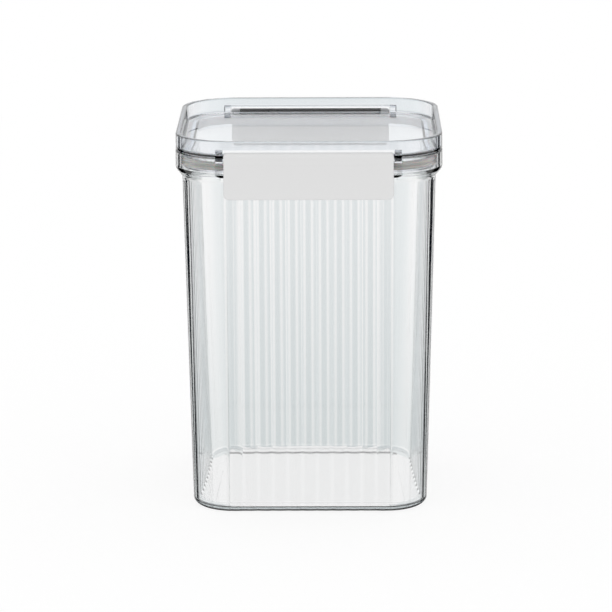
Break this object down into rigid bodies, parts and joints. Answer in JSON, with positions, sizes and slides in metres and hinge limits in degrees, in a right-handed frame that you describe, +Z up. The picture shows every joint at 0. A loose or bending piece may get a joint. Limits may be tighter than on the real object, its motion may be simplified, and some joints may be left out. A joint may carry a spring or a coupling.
{
  "type": "food canister",
  "caption": "Clear square airtight food canister with fluted walls, a recessed clear lid with a soft seal, and two hinged thumb latches that hook under the collar",
  "frame": {"origin": "middle of the base, at the level it stands on", "axes": "+Z up, front latch on -Y, rear latch on +Y, +X to the right seen from the front"},
  "size_m": [0.1052, 0.1112, 0.1511],
  "materials": {
    "clear_tub": "clear polished moulding",
    "clear_lid": "clear polished moulding",
    "silicone": "translucent satin",
    "latch_grey": "fine matt"
  },
  "bodies": {
    "canister": {"tub": "clear_tub"},
    "lid": {"lid": "clear_lid", "seal_ring": "silicone"},
    "front_latch": {"front_latch": "latch_grey"},
    "rear_latch": {"rear_latch": "latch_grey"}
  },
  "joints": [
    {"name": "lid_lift", "type": "slide", "parent": "canister", "child": "lid", "axis": [0, 0, 1], "range_m": [0, 0.12]},
    {"name": "front_latch_hinge", "type": "hinge", "parent": "lid", "child": "front_latch", "pos_m": [0, -0.0529, 0.1452], "axis": [-1, 0, 0], "range_deg": [0, 120]},
    {"name": "rear_latch_hinge", "type": "hinge", "parent": "lid", "child": "rear_latch", "pos_m": [0, 0.0529, 0.1452], "axis": [1, 0, 0], "range_deg": [0, 120]}
  ]
}
